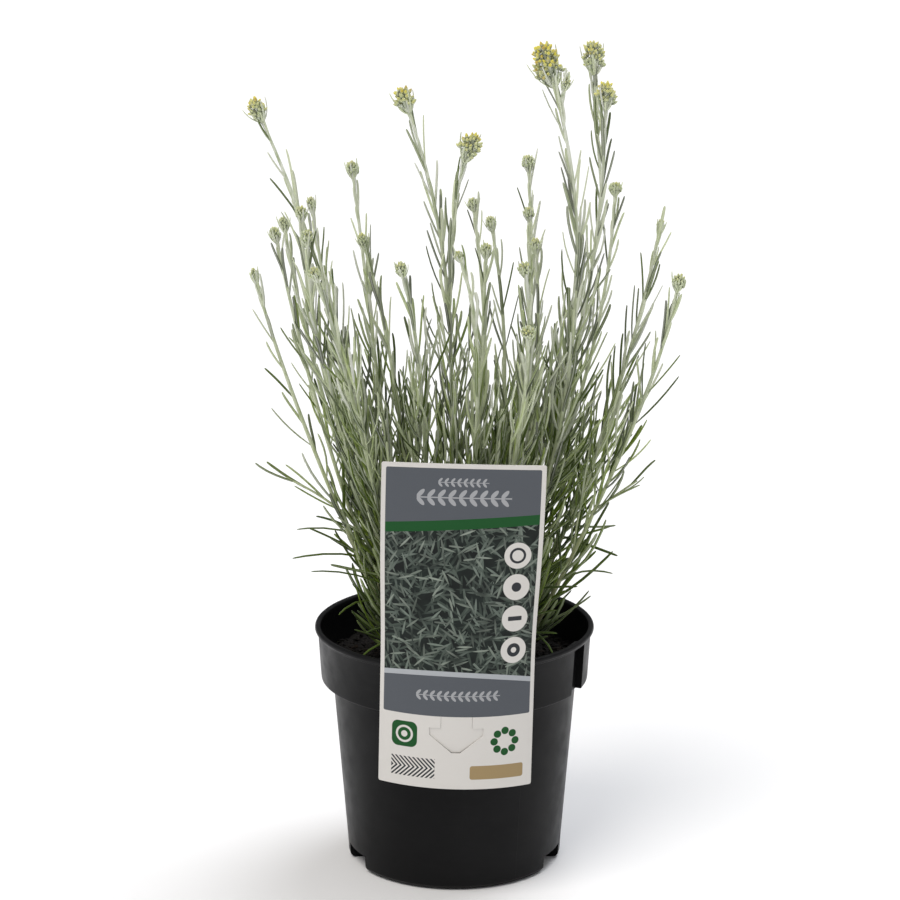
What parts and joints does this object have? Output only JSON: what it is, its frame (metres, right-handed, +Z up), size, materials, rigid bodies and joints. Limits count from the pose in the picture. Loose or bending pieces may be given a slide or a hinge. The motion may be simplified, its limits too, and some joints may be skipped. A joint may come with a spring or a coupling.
{
  "type": "potted curry plant",
  "caption": "Silvery needle-leaved herb in bud, growing in a round black nursery pot with a printed plant label on the front of its collar",
  "frame": {"origin": "centre of the pot's flat base, on the surface that it stands on", "axes": "+Z up along the pot's axis, -Y towards the front where the label hangs, +X to the right seen from the front"},
  "size_m": [0.2114, 0.158, 0.417],
  "materials": {
    "pot_plastic": "moulded black polypropylene, satin",
    "potting_mix": "composted bark crumb, damp",
    "label_card": "printed plastic card, satin",
    "felted_foliage": "green under a silvery felt",
    "open_buds": "dry papery bracts, straw yellow",
    "closed_buds": "felted bracts, yellow-green"
  },
  "bodies": {
    "root": {"pot": "pot_plastic", "potting_mix": "potting_mix", "plant_label": "label_card", "leafy_stem_01": "felted_foliage", "leafy_stem_02": "felted_foliage", "leafy_stem_03": "felted_foliage", "leafy_stem_04": "felted_foliage", "leafy_stem_05": "felted_foliage", "leafy_stem_06": "felted_foliage", "leafy_stem_07": "felted_foliage", "leafy_stem_08": "felted_foliage", "leafy_stem_09": "felted_foliage", "leafy_stem_10": "felted_foliage", "leafy_stem_11": "felted_foliage", "leafy_stem_13": "felted_foliage", "leafy_stem_14": "felted_foliage", "leafy_stem_15": "felted_foliage", "leafy_stem_16": "felted_foliage", "leafy_stem_17": "felted_foliage", "leafy_stem_18": "felted_foliage", "leafy_stem_20": "felted_foliage", "leafy_stem_21": "felted_foliage", "leafy_stem_22": "felted_foliage", "leafy_stem_23": "felted_foliage", "leafy_stem_24": "felted_foliage", "leafy_stem_25": "felted_foliage", "leafy_stem_26": "felted_foliage", "leafy_stem_27": "felted_foliage", "leafy_stem_28": "felted_foliage", "flower_head_01": "open_buds", "flower_head_02": "closed_buds", "flower_head_03": "closed_buds", "flower_head_04": "closed_buds", "flower_head_05": "closed_buds", "flower_head_06": "closed_buds", "flower_head_08": "closed_buds", "flower_head_09": "closed_buds", "flower_head_10": "closed_buds", "flower_head_11": "open_buds", "flower_head_12": "open_buds", "flower_head_13": "closed_buds", "flower_head_14": "closed_buds", "flower_head_15": "closed_buds", "flower_head_16": "closed_buds", "flower_head_17": "closed_buds", "flower_head_18": "open_buds", "flower_head_18_side_bud": "closed_buds", "flower_head_19": "open_buds", "flower_head_20": "open_buds", "flower_head_21": "closed_buds", "flower_head_22": "closed_buds", "flower_head_23": "closed_buds", "flower_head_24": "closed_buds", "flower_head_25": "closed_buds", "flower_head_26": "closed_buds", "flower_head_28": "closed_buds"}
  },
  "joints": []
}
